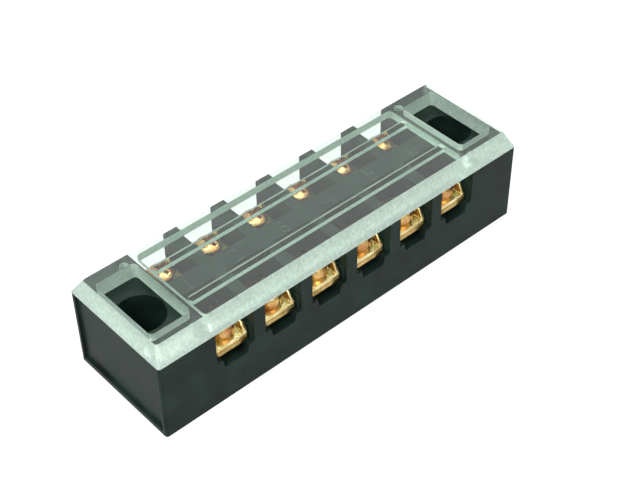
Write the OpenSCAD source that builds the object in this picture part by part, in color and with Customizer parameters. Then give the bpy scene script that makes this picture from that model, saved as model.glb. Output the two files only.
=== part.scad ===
// Barrier terminal strip: a moulded base with two rows of screw terminals under a clear cover.
// X runs along the strip, Y across it and Z up. The origin is the centre of the underside.
// Row "near" is on the -Y side, row "far" on the +Y side, and pole 1 is at the -X end.

/* [Poles] */
// Number of poles along the strip
pole_count = 6; // [2:1:12]
// Distance from one pole to the next
pole_pitch = 9.5; // [8.5:0.1:12]
// Thickness of the barrier wall between two poles
barrier_t = 2.3; // [1.6:0.1:3]
// Distance from each side face to its row of screws
row_inset = 3.8; // [3.2:0.1:4]

/* [Base] */
// Width of the base
base_w = 22; // [21:0.5:26]
// Height of the base, up to the cover's seat
base_h = 14.8; // [14.2:0.1:18]
// Length of the solid block beyond the last pole at each end
end_block = 9.25; // [9:0.25:14]
// Radius of the upright corners
corner_r = 0.5; // [0.3:0.1:1.2]
// Height of the floor that the link bars lie on
floor_h = 8.6; // [8:0.1:9]
// Width of the central ridge that carries the pole numbers
ridge_w = 3.8; // [3:0.1:4.2]
// How far the washer guides stand out of each barrier's flank
guide_t = 0.25; // [0.1:0.05:0.4]
// Length of each washer guide across the strip
guide_len = 1.9; // [1:0.1:2.2]
// Height of each washer guide above the floor
guide_h = 2.8; // [2:0.1:3.5]
// Distance from the side face to the washer guides
guide_inset = 0.6; // [0.3:0.1:1]
// Depth of the shallow panel in each end face
panel_depth = 0.5; // [0.2:0.1:0.6]
// Width of the border round each end panel
panel_border = 0.9; // [0.5:0.1:2]

/* [Screw pockets] */
// Depth of the pocket below the floor
pocket_depth = 1.6; // [1.2:0.1:2]
// Width of the pocket at the floor
pocket_top_w = 5; // [4.6:0.1:5.4]
// Width of the pocket at its bottom
pocket_bottom_w = 4.4; // [4:0.1:4.6]
// How far the pocket runs inward from the screw's axis
pocket_run = 2.6; // [2.1:0.1:3]
// Diameter of the blind well under each screw
well_d = 3.2; // [2.8:0.1:3.6]
// Gap between a screw's tip and the bottom of its well
tip_gap = 0.4; // [0.2:0.1:1]

/* [Mounting holes] */
// Distance from the end face to each mounting hole's axis
mount_inset = 5; // [4.8:0.1:5.2]
// Diameter of the mounting screw's hole
mount_hole_d = 4.4; // [3.2:0.1:5]
// Diameter of the well for the mounting screw's head
mount_head_d = 8; // [7:0.1:8.2]
// Thickness of the base left under the mounting screw's head
mount_seat_h = 6; // [3:0.5:10]

/* [Link bars] */
// Thickness of the link bars
bar_t = 0.8; // [0.6:0.1:1]
// Distance from the side face to the end of each link bar
bar_inset = 1; // [0.6:0.1:1.4]
// Gap between a link bar's edge and the washer guides
bar_gap = 0.2; // [0.1:0.05:0.4]
// Clearance over and beside a link bar in its channel under the ridge
channel_gap = 0.05; // [0.02:0.01:0.1]
// Length of the tapped collar below each link bar
collar_len = 0.8; // [0.5:0.1:1.2]
// Wall thickness of the tapped collar
collar_t = 0.6; // [0.4:0.1:0.7]

/* [Clamp washers] */
// Thickness of the clamp washers
washer_t = 0.8; // [0.6:0.1:1]
// Length of each clamp washer across the strip
washer_len = 5.4; // [5:0.1:5.6]
// Gap between a clamp washer's edge and the washer guides
washer_gap = 0.25; // [0.1:0.05:0.4]
// Height of the upturned ears above the washer
ear_h = 1.7; // [1:0.1:2]
// Length of each ear where it leaves the washer
ear_len = 2.6; // [2:0.1:2.8]
// Thickness of the upturned ears
ear_t = 0.6; // [0.4:0.1:0.7]
// Clearance all round a screw in its washer's hole
washer_hole_gap = 0.2; // [0.1:0.05:0.3]

/* [Screws] */
// Outer diameter of the screws' thread
thread_d = 2.5; // [2.3:0.1:2.6]
// Clearance all round the thread in its tapped collar
thread_gap = 0.05; // [0.02:0.01:0.08]
// Length of the thread below the head
screw_len = 5.2; // [4.6:0.1:5.6]
// Length of the bevel at the screw's tip
tip_bevel = 0.4; // [0.2:0.1:0.6]
// Diameter of the screws' heads
head_d = 4.3; // [4:0.1:4.4]
// Height of the screws' heads
head_h = 2.1; // [1.8:0.1:2.3]
// How much of that height is the domed top
dome_h = 0.5; // [0.2:0.1:0.8]
// Width of the cross recess's arms
recess_w = 0.7; // [0.5:0.1:0.9]
// Length of the cross recess from tip to tip
recess_span = 2.8; // [2.2:0.1:3.2]
// Depth of the cross recess
recess_depth = 1.1; // [0.8:0.1:1.3]
// Angle of the cross recess
recess_angle = 25; // [0:5:85]

/* [Cover] */
// Height of the cover above the base
cover_h = 2.9; // [2.4:0.1:4]
// How far the cover's long sides lean in
side_lean = 1.9; // [1:0.1:2.2]
// How far the cover's ends lean in
end_lean = 1.3; // [0.5:0.1:1.6]
// Thickness of the cover's top plate
plate_t = 1.4; // [1:0.1:1.6]
// Width of the solid rim along each long side
rim_w = 2.4; // [2.2:0.1:3]
// Width of the bar between each end window and the end face
window_inset = 1.95; // [1.8:0.05:2.4]
// Length of each end window along the strip
window_len = 7.4; // [6.6:0.1:7.6]
// Width of each end window across the strip
window_w = 14; // [10:0.5:15]
// Corner radius of the windows and of the hollow
hollow_r = 0.8; // [0.4:0.1:1.2]
// Thickness of the wall between each end window and the hollow
end_wall_t = 1.3; // [1:0.1:1.5]
// Width of each stiffening rib under the plate
rib_w = 1.3; // [0.8:0.1:2]
// Height of each stiffening rib
rib_h = 0.8; // [0.4:0.1:1]
// Distance from the centre line to each stiffening rib
rib_offset = 4.4; // [3.6:0.1:5.4]
// Gap between a rib's end and the end of the hollow
rib_end_gap = 0.2; // [0.1:0.1:2]
// Diameter of the pegs that hold the cover to the base
peg_d = 1.6; // [1.2:0.1:1.8]
// Length of those pegs
peg_len = 2; // [1.5:0.1:3]
// Distance from the side face to the pegs' axes
peg_inset = 2.4; // [1.8:0.1:2.6]
// Distance from each end window's inner edge to the pegs' axes
peg_setback = 0.9; // [0.9:0.1:2]
// Clearance all round a peg in its hole
peg_gap = 0.05; // [0.03:0.01:0.1]
// Gap under a peg in its hole
peg_end_gap = 0.2; // [0.1:0.1:0.5]

/* [Hidden] */
$fn = 64;
// Overshoot of a cut beyond the face that it opens
cut = 1;
// Thickness of the thin plates that a hull joins
film = 0.001;

strip_len = pole_count * pole_pitch + 2 * end_block;
row_y = base_w / 2 - row_inset;
slot_w = pole_pitch - barrier_t;
slot_len = (base_w - ridge_w) / 2;
guided_w = slot_w - 2 * guide_t;
bar_w = guided_w - 2 * bar_gap;
bar_len = base_w - 2 * bar_inset;
washer_w = guided_w - 2 * washer_gap;
washer_z = floor_h + bar_t;
head_z = washer_z + washer_t;
tip_z = head_z - screw_len;
dome_r = (pow(head_d / 2, 2) + dome_h * dome_h) / (2 * dome_h);
mount_x = strip_len / 2 - mount_inset;
window_x = strip_len / 2 - window_inset - window_len / 2;
hollow_len = strip_len - 2 * (window_inset + window_len + end_wall_t);
hollow_w = base_w - 2 * rim_w;
plate_z = base_h + cover_h - plate_t;
rib_len = hollow_len - 2 * rib_end_gap;
peg_x = window_x - window_len / 2 + peg_setback;
peg_y = base_w / 2 - peg_inset;

SIDES = [-1, 1];
ROWS = ["near", "far"];

// Name of a terminal's piece; side is -1 for the near row and 1 for the far row
function terminal_name(piece, side, i) = str(piece, "_", ROWS[(side + 1) / 2], "_", i);

// Place of pole i along the strip
function pole_x(i) = (i - (pole_count + 1) / 2) * pole_pitch;

// Rectangle with round corners, centred on the origin
module round_rect(len, wid, r) {
    square([len - 2 * r, wid], center = true);
    square([len, wid - 2 * r], center = true);
    for (x = SIDES, y = SIDES)
        translate([x * (len / 2 - r), y * (wid / 2 - r)])
            circle(r);
}

// Bar with half-round ends, centred on the origin
module stadium(len, wid) {
    square([len - wid, wid], center = true);
    for (x = SIDES)
        translate([x * (len - wid) / 2, 0])
            circle(wid / 2);
}

// Block on the plane z = 0, centred in X and Y
module block(len, wid, h) {
    linear_extrude(h)
        square([len, wid], center = true);
}

// Copies its children at both ends, facing outward
module at_both_ends() {
    for (x = SIDES)
        scale([x, 1, 1])
            children();
}

// Copies its children at both long sides, facing outward
module at_both_sides() {
    for (y = SIDES)
        scale([1, y, 1])
            children();
}

// Copies its children at each terminal, as seen from the far row
module at_terminals() {
    for (i = [1:pole_count])
        translate([pole_x(i), 0, 0])
            at_both_sides()
                children();
}

// Space over the floor of one terminal, between its barriers and their washer guides
module slot_space() {
    difference() {
        translate([0, ridge_w / 2 + slot_len / 2 + cut / 2, floor_h])
            block(slot_w, slot_len + cut, base_h - floor_h + cut);
        at_both_ends()
            translate([slot_w / 2 - guide_t / 2, base_w / 2 - guide_inset - guide_len / 2, floor_h - cut])
                block(guide_t, guide_len, guide_h + cut);
    }
}

// Pocket below the floor, open to the side face, with the blind well for the screw's tip
module screw_pocket() {
    pocket_y = row_y - pocket_run;
    translate([0, base_w / 2 + cut, floor_h])
        rotate([90, 0, 0])
            linear_extrude(base_w / 2 + cut - pocket_y)
                polygon([
                    [-pocket_bottom_w / 2, -pocket_depth],
                    [pocket_bottom_w / 2, -pocket_depth],
                    [pocket_top_w / 2, 0],
                    [pocket_top_w / 2, cut],
                    [-pocket_top_w / 2, cut],
                    [-pocket_top_w / 2, 0]
                ]);
    translate([0, row_y, tip_z - tip_gap])
        cylinder(d = well_d, h = floor_h - tip_z + tip_gap);
}

// Hole and head well for one mounting screw
module mounting_hole() {
    translate([mount_x, 0, -cut])
        cylinder(d = mount_hole_d, h = base_h + 2 * cut);
    translate([mount_x, 0, mount_seat_h])
        cylinder(d = mount_head_d, h = base_h - mount_seat_h + cut);
}

// Shallow panel in an end face, open at the top
module end_panel() {
    translate([strip_len / 2 - panel_depth / 2 + cut / 2, 0, panel_border])
        block(panel_depth + cut, base_w - 2 * panel_border, base_h);
}

// Shape of the four cover pegs, or of their holes, standing on the plane z
module pegs(d, z, h) {
    at_both_ends()
        at_both_sides()
            translate([peg_x, peg_y, z])
                cylinder(d = d, h = h);
}

// Moulded base: barriers, ridge, floor and end blocks in one piece
module base() {
    color("#27302d")
        difference() {
            linear_extrude(base_h)
                round_rect(strip_len, base_w, corner_r);
            at_terminals()
                slot_space();
            at_terminals()
                screw_pocket();
            for (i = [1:pole_count])
                translate([pole_x(i), 0, floor_h])
                    block(bar_w + 2 * channel_gap, ridge_w + 2 * cut, bar_t + channel_gap);
            at_both_ends()
                mounting_hole();
            at_both_ends()
                end_panel();
            pegs(peg_d + 2 * peg_gap, base_h - peg_len - peg_end_gap, peg_len + peg_end_gap + cut);
        }
}

// Brass bar that joins the two screws of one pole under the ridge
module link_bar(i) {
    bore_d = thread_d + 2 * thread_gap;
    color("#c9a557")
        translate([pole_x(i), 0, floor_h])
            difference() {
                union() {
                    block(bar_w, bar_len, bar_t);
                    at_both_sides()
                        translate([0, row_y, -collar_len])
                            cylinder(d = bore_d + 2 * collar_t, h = collar_len + bar_t / 2);
                }
                at_both_sides()
                    translate([0, row_y, -collar_len - cut])
                        cylinder(d = bore_d, h = collar_len + bar_t + 2 * cut);
            }
}

// Pointed ear that stands up at the edge of a clamp washer, near its outer end
module ear() {
    translate([washer_w / 2 - ear_t, washer_len / 2, washer_t])
        rotate([90, 0, 90])
            linear_extrude(ear_t)
                polygon([[0, 0], [-ear_len * 0.35, ear_h], [-ear_len * 0.5, ear_h], [-ear_len, 0]]);
}

// Clamp washer with two upturned ears that keep the wire under the screw's head
module clamp_washer(side, i) {
    color("#d9b860")
        translate([pole_x(i), side * row_y, washer_z])
            scale([1, side, 1])
                difference() {
                    union() {
                        block(washer_w, washer_len, washer_t);
                        at_both_ends()
                            ear();
                    }
                    translate([0, 0, -cut])
                        cylinder(d = thread_d + 2 * washer_hole_gap, h = washer_t + 2 * cut);
                }
}

// Half profile of a screw, from its tip to its domed top, with the head's seat on the plane z = 0
module screw_profile() {
    polygon([
        [0, -screw_len],
        [thread_d / 2 - tip_bevel, -screw_len],
        [thread_d / 2, tip_bevel - screw_len],
        [thread_d / 2, 0],
        [thread_d / 2, head_h / 2],
        [0, head_h / 2]
    ]);
    intersection() {
        square([head_d / 2, head_h]);
        translate([0, head_h - dome_r])
            circle(dome_r);
    }
}

// Terminal screw with a domed head and a cross recess
module terminal_screw(side, i) {
    color("#c98a4b")
        translate([pole_x(i), side * row_y, head_z])
            difference() {
                rotate_extrude()
                    screw_profile();
                translate([0, 0, head_h - recess_depth])
                    for (turn = [0, 90])
                        rotate(recess_angle + turn)
                            block(recess_span, recess_w, recess_depth + cut);
            }
}

// Outside of the cover: a low block whose four faces lean in
module cover_body() {
    hull() {
        translate([0, 0, base_h])
            linear_extrude(film)
                round_rect(strip_len, base_w, corner_r, $fn = 32);
        translate([0, 0, base_h + cover_h - film])
            linear_extrude(film)
                round_rect(strip_len - 2 * end_lean, base_w - 2 * side_lean, corner_r, $fn = 32);
    }
}

// Clear cover with two end windows, a shallow hollow, two ribs and four pegs
module cover() {
    color([0.78, 0.87, 0.83, 0.35]) {
        difference() {
            cover_body();
            translate([0, 0, base_h - cut])
                linear_extrude(plate_z - base_h + cut)
                    round_rect(hollow_len, hollow_w, hollow_r);
            at_both_ends()
                translate([window_x, 0, base_h - cut])
                    linear_extrude(cover_h + 2 * cut)
                        round_rect(window_len, window_w, hollow_r);
        }
        at_both_sides()
            translate([0, rib_offset, plate_z - rib_h])
                linear_extrude(rib_h + plate_t / 2)
                    stadium(rib_len, rib_w);
        pegs(peg_d, base_h - peg_len, peg_len + (cover_h - plate_t) / 2);
    }
}

base();
cover();
for (i = [1:pole_count])
    link_bar(i);
for (side = SIDES, i = [1:pole_count])
    clamp_washer(side, i);
for (side = SIDES, i = [1:pole_count])
    terminal_screw(side, i);
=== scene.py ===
"""Dresses the barrier terminal strip: a dark moulded base with brass clamps under a clear cover.

Lengths are written in millimetres and turned to metres by MM. X runs along the strip, Y across it and Z up.
"""

import logging
import math
from dataclasses import dataclass
from enum import Enum
from typing import Iterable

import bmesh
import bpy
from mathutils import Matrix, Vector


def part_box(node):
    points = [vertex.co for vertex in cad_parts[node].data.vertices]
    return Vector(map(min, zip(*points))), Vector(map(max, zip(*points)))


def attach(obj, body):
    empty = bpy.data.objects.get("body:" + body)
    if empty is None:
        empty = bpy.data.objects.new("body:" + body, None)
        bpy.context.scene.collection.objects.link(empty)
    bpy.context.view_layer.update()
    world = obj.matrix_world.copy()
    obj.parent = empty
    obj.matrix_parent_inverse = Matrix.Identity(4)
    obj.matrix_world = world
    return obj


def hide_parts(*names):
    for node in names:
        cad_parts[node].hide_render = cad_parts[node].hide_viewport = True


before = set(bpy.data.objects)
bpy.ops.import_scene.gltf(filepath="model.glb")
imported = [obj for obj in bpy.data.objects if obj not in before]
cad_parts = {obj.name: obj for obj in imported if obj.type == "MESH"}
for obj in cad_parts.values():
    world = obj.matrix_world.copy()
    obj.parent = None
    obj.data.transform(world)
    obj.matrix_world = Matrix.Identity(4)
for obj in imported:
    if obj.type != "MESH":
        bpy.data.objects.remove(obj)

MM = 0.001
WELD_MM = 0.001
WHITE = (1.0, 1.0, 1.0, 1.0)
LOG = logging.getLogger("terminal_strip")


class Row(Enum):
    """The two rows of terminals, by the side of the strip that they open to."""

    NEAR = "near"
    FAR = "far"


def linear(hex_colour: str) -> tuple[float, float, float, float]:
    """Turns an sRGB hex colour to the linear colour that a shader takes.

    Args:
        hex_colour: Six hex digits after a hash, such as "#c9a24a".

    Returns:
        The red, green, blue and alpha values, with alpha 1.
    """
    parts = [int(hex_colour[i : i + 2], 16) / 255 for i in (1, 3, 5)]
    values = [c / 12.92 if c <= 0.04045 else ((c + 0.055) / 1.055) ** 2.4 for c in parts]
    return (*values, 1.0)


def add_node(
    tree: bpy.types.NodeTree,
    kind: str,
    settings: dict[str, object] | None = None,
    inputs: dict[str | int, object] | None = None,
) -> bpy.types.Node:
    """Adds a shader node with its settings, and sets or links its inputs.

    Args:
        tree: The node tree that it goes into.
        kind: The node's Blender type, without "ShaderNode".
        settings: Properties of the node itself.
        inputs: Values or output sockets, by input name or number.

    Returns:
        The new node.
    """
    node = tree.nodes.new("ShaderNode" + kind)
    for name, value in (settings or {}).items():
        setattr(node, name, value)
    for name, value in (inputs or {}).items():
        if isinstance(value, bpy.types.NodeSocket):
            tree.links.new(value, node.inputs[name])
        else:
            node.inputs[name].default_value = value
    return node


def add_noise(
    tree: bpy.types.NodeTree, place: bpy.types.NodeSocket, size_mm: float, detail: float
) -> bpy.types.NodeSocket:
    """Adds noise whose cells are size_mm across in Object coordinates and gives its socket."""
    inputs = {"Vector": place, "Scale": 1 / (size_mm * MM), "Detail": detail}
    return add_node(tree, "TexNoise", None, inputs).outputs[0]


def add_bump(
    tree: bpy.types.NodeTree, height: bpy.types.NodeSocket, depth_mm: float, strength: float
) -> bpy.types.NodeSocket:
    """Adds a bump of depth_mm at full strength and gives the normal's socket."""
    inputs = {"Strength": strength, "Distance": depth_mm * MM, "Height": height}
    return add_node(tree, "Bump", None, inputs).outputs[0]


def new_material(name: str) -> tuple[bpy.types.Material, bpy.types.NodeTree, bpy.types.NodeSocket]:
    """Makes an empty node material.

    Args:
        name: The material's name.

    Returns:
        The material, its node tree and the socket that gives Object coordinates.
    """
    material = bpy.data.materials.new(name)
    material.use_nodes = True
    tree = material.node_tree
    tree.nodes.clear()
    return material, tree, add_node(tree, "TexCoord").outputs["Object"]


def spread(
    tree: bpy.types.NodeTree, noise: bpy.types.NodeSocket, low: float, high: float
) -> bpy.types.NodeSocket:
    """Maps the middle of the noise, from 0.3 to 0.7, to a range and gives the socket."""
    ranged = add_node(tree, "MapRange", None, {0: noise, 1: 0.3, 2: 0.7, 3: low, 4: high})
    return ranged.outputs[0]


def blend_colours(
    tree: bpy.types.NodeTree, noise: bpy.types.NodeSocket, low: str, high: str
) -> bpy.types.NodeSocket:
    """Mixes two hex colours by noise and gives the colour socket."""
    share = spread(tree, noise, 0.0, 1.0)
    inputs = {0: share, 6: linear(low), 7: linear(high)}
    return add_node(tree, "Mix", {"data_type": "RGBA"}, inputs).outputs[2]


def lit_through(
    tree: bpy.types.NodeTree, surface: bpy.types.NodeSocket, tint: str
) -> bpy.types.NodeSocket:
    """Lets lamps shine through a surface with a tint, so that what lies under it is lit."""
    lit = add_node(tree, "BsdfTransparent", None, {"Color": linear(tint)})
    shadow = add_node(tree, "LightPath").outputs["Is Shadow Ray"]
    return add_node(tree, "MixShader", None, {0: shadow, 1: surface, 2: lit.outputs[0]}).outputs[0]


@dataclass(frozen=True)
class MouldedPhenolic:
    """Compression-moulded phenolic: dense, dark and faintly mottled, with a satin skin."""

    name: str = "moulded_phenolic"
    dark: str = "#0e1613"
    light: str = "#1a2823"
    blotch_mm: float = 4.0
    grain_mm: float = 0.22
    grain_depth_mm: float = 0.006
    grain_strength: float = 0.5
    roughness: tuple[float, float] = (0.38, 0.52)
    specular: float = 0.08
    ior: float = 1.5

    def material(self) -> bpy.types.Material:
        """Builds the finish."""
        material, tree, place = new_material(self.name)
        blotch = add_noise(tree, place, self.blotch_mm, detail=4.0)
        grain = add_noise(tree, place, self.grain_mm, detail=2.0)
        shader = add_node(
            tree, "BsdfPrincipled", None,
            {
                "Base Color": blend_colours(tree, blotch, self.dark, self.light),
                "Roughness": spread(tree, blotch, *self.roughness),
                "Specular IOR Level": self.specular,
                "IOR": self.ior,
                "Normal": add_bump(tree, grain, self.grain_depth_mm, self.grain_strength),
            },
        )
        add_node(tree, "OutputMaterial", None, {"Surface": shader.outputs[0]})
        return material


@dataclass(frozen=True)
class RubbedEdge:
    """The phenolic on the sides of the raised figures, greyer and a little shinier: a painted highlight
    standing in for light caught along their edges.
    """

    name: str = "phenolic_edge_painted_highlight"
    # Painted highlight: these greys stand in for light caught on the numbers' sides.
    dark: str = "#6d7f77"
    light: str = "#93a69d"
    blotch_mm: float = 0.8
    roughness: float = 0.35
    ior: float = 1.5

    def material(self) -> bpy.types.Material:
        """Builds the finish."""
        material, tree, place = new_material(self.name)
        blotch = add_noise(tree, place, self.blotch_mm, detail=3.0)
        colour = blend_colours(tree, blotch, self.dark, self.light)
        shader = add_node(
            tree, "BsdfPrincipled", None,
            {"Base Color": colour, "Roughness": self.roughness, "IOR": self.ior},
        )
        add_node(tree, "OutputMaterial", None, {"Surface": shader.outputs[0]})
        return material


@dataclass(frozen=True)
class ClearPolycarbonate:
    """Moulded polycarbonate: clear with a faint grey-green cast, polished, with flow ripples."""

    name: str = "clear_polycarbonate"
    tint: str = "#e6f0eb"
    lamp_tint: str = "#dbe8e1"
    ior: float = 1.585
    roughness: float = 0.02
    ripple_mm: float = 7.0
    ripple_depth_mm: float = 0.01
    ripple_strength: float = 0.3

    def material(self) -> bpy.types.Material:
        """Builds the finish."""
        material, tree, place = new_material(self.name)
        ripple = add_noise(tree, place, self.ripple_mm, detail=1.0)
        clear = add_node(
            tree, "BsdfPrincipled", None,
            {
                "Base Color": linear(self.tint),
                "Roughness": self.roughness,
                "IOR": self.ior,
                "Transmission Weight": 1.0,
                "Normal": add_bump(tree, ripple, self.ripple_depth_mm, self.ripple_strength),
            },
        )
        surface = lit_through(tree, clear.outputs[0], self.lamp_tint)
        add_node(tree, "OutputMaterial", None, {"Surface": surface})
        return material


@dataclass(frozen=True)
class MattePolycarbonate:
    """The same polycarbonate where it is matte: it lets light through and scatters it."""

    name: str = "matte_polycarbonate"
    low: str = "#93a89c"
    high: str = "#b6c6bc"
    fleck_mm: float = 0.5
    ior: float = 1.585
    roughness: float = 0.45
    clear_share: float = 0.5
    lamp_tint: str = "#b9c9c0"

    def material(self) -> bpy.types.Material:
        """Builds the finish."""
        material, tree, place = new_material(self.name)
        fleck = add_noise(tree, place, self.fleck_mm, detail=3.0)
        matte = add_node(
            tree, "BsdfPrincipled", None,
            {
                "Base Color": blend_colours(tree, fleck, self.low, self.high),
                "Roughness": self.roughness,
                "IOR": self.ior,
                "Transmission Weight": self.clear_share,
            },
        )
        surface = lit_through(tree, matte.outputs[0], self.lamp_tint)
        add_node(tree, "OutputMaterial", None, {"Surface": surface})
        return material


@dataclass(frozen=True)
class ClampMetal:
    """Stamped or turned brass: bright where it was cut, with a warmer, duller film in between."""

    name: str
    bright: str
    dull: str
    film_mm: float = 1.6
    scratch_mm: float = 0.12
    scratch_depth_mm: float = 0.004
    scratch_strength: float = 0.6
    roughness: tuple[float, float] = (0.18, 0.34)

    def material(self) -> bpy.types.Material:
        """Builds the finish."""
        material, tree, place = new_material(self.name)
        film = add_noise(tree, place, self.film_mm, detail=4.0)
        scratch = add_noise(tree, place, self.scratch_mm, detail=2.0)
        shader = add_node(
            tree, "BsdfPrincipled", None,
            {
                "Base Color": blend_colours(tree, film, self.dull, self.bright),
                "Metallic": 1.0,
                "Roughness": spread(tree, film, self.roughness[1], self.roughness[0]),
                "Normal": add_bump(tree, scratch, self.scratch_depth_mm, self.scratch_strength),
            },
        )
        add_node(tree, "OutputMaterial", None, {"Surface": shader.outputs[0]})
        return material


def finish_piece(
    name: str,
    shape: bmesh.types.BMesh,
    finishes: Iterable[bpy.types.Material],
    smooth_below_deg: float = 35.0,
    large_face_weight: int = 80,
) -> bpy.types.Object:
    """Turns a bmesh to an object at the origin, smooth except at its sharp edges.

    Args:
        name: The object's name.
        shape: The bmesh, in metres. It is freed.
        finishes: The materials, in slot order.
        smooth_below_deg: Edges that turn by more than this stay sharp.
        large_face_weight: How far large faces set the shading of the bevels beside them.

    Returns:
        The object, linked to the scene.
    """
    mesh = bpy.data.meshes.new(name)
    shape.to_mesh(mesh)
    shape.free()
    mesh.polygons.foreach_set("use_smooth", [True] * len(mesh.polygons))
    mesh.set_sharp_from_angle(angle=math.radians(smooth_below_deg))
    for finish in finishes:
        mesh.materials.append(finish)
    piece = bpy.data.objects.new(name, mesh)
    even = piece.modifiers.new("even_shading", "WEIGHTED_NORMAL")
    even.mode = "FACE_AREA"
    even.weight = large_face_weight
    even.keep_sharp = True
    bpy.context.scene.collection.objects.link(piece)
    return piece


def merged_copy(node: str, flat_deg: float = 0.5) -> bmesh.types.BMesh:
    """Copies a CAD node's mesh with its corners merged and its flat faces joined.

    Args:
        node: The CAD node's name.
        flat_deg: Faces that meet at less than this angle become one.

    Returns:
        The copy.
    """
    shape = bmesh.new()
    shape.from_mesh(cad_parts[node].data)
    bmesh.ops.remove_doubles(shape, verts=shape.verts, dist=WELD_MM * MM)
    bmesh.ops.dissolve_limit(
        shape, angle_limit=math.radians(flat_deg), verts=shape.verts, edges=shape.edges
    )
    return shape


def soften_edges(
    shape: bmesh.types.BMesh, width_mm: float, sharp_deg: float = 40.0, segments: int = 2
) -> None:
    """Bevels every edge between two faces that turns by more than sharp_deg."""
    paired = [edge for edge in shape.edges if len(edge.link_faces) == 2]
    sharp = [edge for edge in paired if edge.calc_face_angle() > math.radians(sharp_deg)]
    bmesh.ops.bevel(
        shape, geom=sharp, offset=width_mm * MM, offset_type="OFFSET", segments=segments, profile=0.5,
        affect="EDGES", clamp_overlap=True, material=-1,
    )


def pole_list() -> list[int]:
    """Gives the number of every pole, which are counted by their link bars."""
    numbers = range(1, len(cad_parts) + 1)
    return [number for number in numbers if f"link_bar_{number}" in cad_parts]


@dataclass
class BaseMoulding:
    """The dark base and the raised pole numbers on its ridge."""

    edge_mm: float = 0.12
    number_height_mm: float = 3.2
    number_depth_mm: float = 0.3
    number_rise_mm: float = 0.075
    number_weight_mm: float = 0.12
    font_size_ratio: float = 1.35
    curve_steps: int = 6
    level_above: float = 0.9

    def build(self, finish: bpy.types.Material, edge_highlight_finish: bpy.types.Material) -> list[bpy.types.Object]:
        """Builds the base and its numbers.

        Args:
            finish: The phenolic.
            edge_highlight_finish: The phenolic with a painted highlight, for the sides of the numbers.

        Returns:
            The pieces.
        """
        shape = merged_copy("base")
        soften_edges(shape, self.edge_mm)
        moulding = finish_piece("base_moulding", shape, [finish])
        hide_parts("base")
        pieces = [moulding]
        pieces += [self.pole_number(pole, finish, edge_highlight_finish) for pole in pole_list()]
        for piece in pieces:
            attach(piece, "base_body")
        return pieces

    def pole_number(
        self, pole: int, finish: bpy.types.Material, edge_highlight_finish: bpy.types.Material
    ) -> bpy.types.Object:
        """Makes one raised number at the middle of its pole, read from the near side."""
        curve = bpy.data.curves.new(f"pole_number_{pole}", "FONT")
        curve.body = str(pole)
        curve.size = self.number_height_mm * MM * self.font_size_ratio
        curve.offset = self.number_weight_mm * MM
        curve.extrude = self.number_depth_mm * MM / 2
        curve.resolution_u = self.curve_steps
        holder = bpy.data.objects.new("number_holder", curve)
        bpy.context.scene.collection.objects.link(holder)
        graph = bpy.context.evaluated_depsgraph_get()
        solid = bpy.data.meshes.new_from_object(holder.evaluated_get(graph))
        bpy.data.objects.remove(holder)
        shape = bmesh.new()
        shape.from_mesh(solid)
        bpy.data.meshes.remove(solid)
        bmesh.ops.remove_doubles(shape, verts=shape.verts, dist=WELD_MM * MM)
        low, high = corners(shape)
        link_low, link_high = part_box(f"link_bar_{pole}")
        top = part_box("base")[1].z
        stretch = self.number_height_mm * MM / (high.y - low.y)
        bmesh.ops.translate(shape, verts=shape.verts, vec=-(low + high) / 2)
        bmesh.ops.scale(shape, verts=shape.verts, vec=(stretch, stretch, 1))
        height = top + (self.number_rise_mm - self.number_depth_mm / 2) * MM
        middle = Vector(((link_low.x + link_high.x) / 2, 0, height))
        bmesh.ops.translate(shape, verts=shape.verts, vec=middle)
        # Level faces keep the phenolic; the sides take the painted highlight, which stands in for light
        # caught along the numbers' edges.
        for face in shape.faces:
            face.material_index = 0 if abs(face.normal.z) > self.level_above else 1
        return finish_piece(f"pole_number_{pole}", shape, [finish, edge_highlight_finish])


def corners(shape: bmesh.types.BMesh) -> tuple[Vector, Vector]:
    """Gives the lowest and highest corner of a bmesh's box."""
    places = [v.co for v in shape.verts]
    low = Vector([min(p[axis] for p in places) for axis in range(3)])
    high = Vector([max(p[axis] for p in places) for axis in range(3)])
    return low, high


@dataclass
class ClearCover:
    """The clear cover, which rests on the base with a hair of air between them."""

    edge_mm: float = 0.1
    air_gap_mm: float = 0.03
    polished_above: float = 0.97

    def build(self, clear: bpy.types.Material, matte: bpy.types.Material) -> bpy.types.Object:
        """Builds the cover.

        Args:
            clear: The finish of its level faces.
            matte: The finish of its flanks and of every other face that is not level.

        Returns:
            The cover.
        """
        shape = merged_copy("cover")
        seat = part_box("base")[1].z
        for corner in shape.verts:
            if abs(corner.co.z - seat) < self.air_gap_mm * MM / 2:
                corner.co.z += self.air_gap_mm * MM
        soften_edges(shape, self.edge_mm)
        for face in shape.faces:
            face.material_index = 0 if abs(face.normal.z) > self.polished_above else 1
        cover = finish_piece("clear_cover", shape, [clear, matte])
        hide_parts("cover")
        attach(cover, "cover_body")
        return cover


@dataclass
class Terminals:
    """The link bars, clamp washers and screws."""

    edge_mm: float = 0.07

    def build(
        self, bar: bpy.types.Material, washer: bpy.types.Material, screw: bpy.types.Material
    ) -> list[bpy.types.Object]:
        """Builds every metal piece.

        Args:
            bar: The link bars' brass.
            washer: The clamp washers' brass.
            screw: The screws' metal.

        Returns:
            The pieces.
        """
        pieces = []
        for pole in pole_list():
            pieces.append(self.metal_piece(f"link_bar_{pole}", "base_body", bar))
            for end in (f"{row.value}_{pole}" for row in Row):
                for kind, body, slot, finish in (
                    ("clamp_washer", "washer", "washer_brass", washer),
                    ("terminal_screw", "screw", "screw_metal", screw),
                ):
                    pieces.append(self.metal_piece(f"{kind}_{end}", f"{body}_{end}", finish))
        return pieces

    def metal_piece(
        self, node: str, body: str, finish: bpy.types.Material
    ) -> bpy.types.Object:
        """Dresses one CAD piece with softened edges."""
        shape = merged_copy(node)
        soften_edges(shape, self.edge_mm)
        piece = finish_piece(f"{node}_dressed", shape, [finish])
        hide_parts(node)
        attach(piece, body)
        return piece


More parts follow.
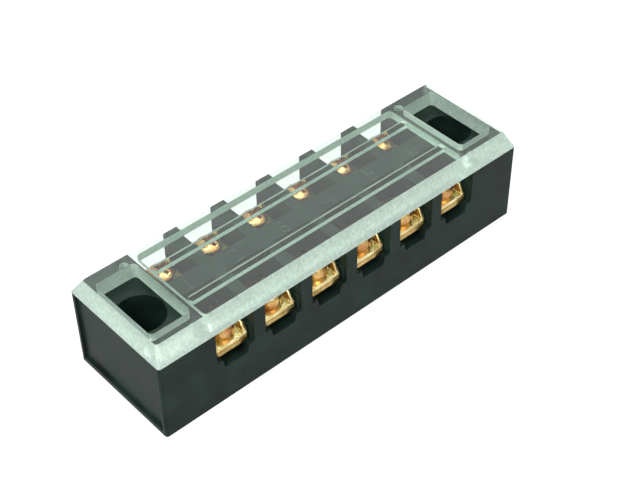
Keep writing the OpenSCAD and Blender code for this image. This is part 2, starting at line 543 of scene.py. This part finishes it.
@dataclass(frozen=True)
class Viewpoint:
    """A camera that looks down on the strip past its near left corner."""

    target_mm: tuple[float, float, float] = (4.147, 1.199, 6.0)
    heading_deg: float = -41.665
    tilt_deg: float = 42.419
    roll_deg: float = -0.64
    distance_mm: float = 229.494
    lens_mm: float = 77.63
    sensor_mm: float = 36.0
    nearest_mm: float = 10.0

    def build(self) -> None:
        """Makes the camera and gives it to the scene."""
        heading, tilt, roll = (math.radians(a) for a in (self.heading_deg, self.tilt_deg, self.roll_deg))
        reach = math.cos(tilt)
        ahead = Vector((-math.sin(heading) * reach, math.cos(heading) * reach, -math.sin(tilt)))
        level_right = Vector((math.cos(heading), math.sin(heading), 0))
        level_up = level_right.cross(ahead)
        right = level_right * math.cos(roll) + level_up * math.sin(roll)
        up = level_up * math.cos(roll) - level_right * math.sin(roll)
        data = bpy.data.cameras.new("viewpoint")
        data.lens = self.lens_mm
        data.sensor_width = self.sensor_mm
        data.clip_start = self.nearest_mm * MM
        camera = bpy.data.objects.new("viewpoint", data)
        turn = Matrix((right, up, -ahead)).transposed()
        place = (Vector(self.target_mm) - ahead * self.distance_mm) * MM
        camera.matrix_world = Matrix.Translation(place) @ turn.to_4x4()
        bpy.context.scene.collection.objects.link(camera)
        bpy.context.scene.camera = camera


@dataclass(frozen=True)
class Lamp:
    """One large soft lamp."""

    name: str
    place_mm: tuple[float, float, float]
    size_mm: float
    watts: float

    def build(self) -> None:
        """Adds the lamp, turned to the strip."""
        data = bpy.data.lights.new(self.name, "AREA")
        data.size = self.size_mm * MM
        data.energy = self.watts
        lamp = bpy.data.objects.new(self.name, data)
        place = Vector(self.place_mm) * MM
        turn = (-place).to_track_quat("-Z", "Y").to_matrix()
        lamp.matrix_world = Matrix.Translation(place) @ turn.to_4x4()
        bpy.context.scene.collection.objects.link(lamp)


@dataclass
class Studio:
    """A pale floor, a white surround and soft lamps."""

    floor_mm: float = 900.0
    lamps: tuple[Lamp, ...] = (
        Lamp("key_lamp", (-320, -60, 420), 260, 3.2),
        Lamp("top_lamp", (120, 160, 480), 320, 2.4),
        Lamp("front_lamp", (-60, -420, 160), 240, 0.9),
    )
    surround: float = 0.45
    paper: str = "#f4f4f4"
    glow_share: float = 0.8

    def build(self) -> None:
        """Makes the floor, the world and the lamps."""
        self.floor()
        self.world()
        for lamp in self.lamps:
            lamp.build()

    def white_ray(self, tree: bpy.types.NodeTree) -> bpy.types.NodeSocket:
        """Gives 1 where a ray is seen, mirrored or looks through, and 0 where it only lights."""
        path = add_node(tree, "LightPath")
        seen = add_node(
            tree, "Math", {"operation": "MAXIMUM"},
            {0: path.outputs["Is Camera Ray"], 1: path.outputs["Is Glossy Ray"]},
        )
        either = add_node(
            tree, "Math", {"operation": "MAXIMUM"},
            {0: seen.outputs[0], 1: path.outputs["Is Transmission Ray"]},
        )
        return either.outputs[0]

    def floor(self) -> None:
        """Makes the floor, which looks nearly white and keeps a faint shadow."""
        shape = bmesh.new()
        bmesh.ops.create_grid(shape, x_segments=1, y_segments=1, size=self.floor_mm * MM / 2)
        material, tree, _ = new_material("pale_floor")
        paper = add_node(tree, "BsdfDiffuse", None, {"Color": linear(self.paper)})
        glow = add_node(tree, "Emission", None, {"Color": WHITE, "Strength": 1.0})
        share = add_node(
            tree, "Math", {"operation": "MULTIPLY"}, {0: self.white_ray(tree), 1: self.glow_share}
        )
        mixed = add_node(
            tree, "MixShader", None, {0: share.outputs[0], 1: paper.outputs[0], 2: glow.outputs[0]}
        )
        add_node(tree, "OutputMaterial", None, {"Surface": mixed.outputs[0]})
        finish_piece("floor", shape, [material])

    def world(self) -> None:
        """Makes a surround that is seen as white and lights the strip softly."""
        world = bpy.data.worlds.new("surround")
        world.use_nodes = True
        tree = world.node_tree
        tree.nodes.clear()
        fill = add_node(tree, "Background", None, {"Color": WHITE, "Strength": self.surround})
        white = add_node(tree, "Background", None, {"Color": WHITE, "Strength": 1.0})
        mixed = add_node(
            tree, "MixShader", None, {0: self.white_ray(tree), 1: fill.outputs[0], 2: white.outputs[0]}
        )
        add_node(tree, "OutputWorld", None, {"Surface": mixed.outputs[0]})
        bpy.context.scene.world = world


def main() -> None:
    """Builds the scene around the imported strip."""
    logging.basicConfig(level=logging.INFO)
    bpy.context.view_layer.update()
    Viewpoint().build()
    phenolic = MouldedPhenolic().material()
    # The numbers' sides get a lighter phenolic that is a painted highlight.
    edge_highlight = RubbedEdge().material()
    clear = ClearPolycarbonate().material()
    bar_brass = ClampMetal("stamped_bar_brass", "#cbb070", "#8c6f3c").material()
    washer_brass = ClampMetal("stamped_washer_brass", "#efe2ae", "#c2a867").material()
    screw_metal = ClampMetal("turned_screw_brass", "#d9b273", "#a86b42").material()
    pieces = BaseMoulding().build(phenolic, edge_highlight)
    pieces += Terminals().build(bar_brass, washer_brass, screw_metal)
    pieces.append(ClearCover().build(clear, MattePolycarbonate().material()))
    for piece in pieces:
        LOG.info("%s: %d faces", piece.name, len(piece.data.polygons))
    Studio().build()
    bpy.context.scene.view_settings.view_transform = "Standard"


if __name__ == "__main__":
    main()
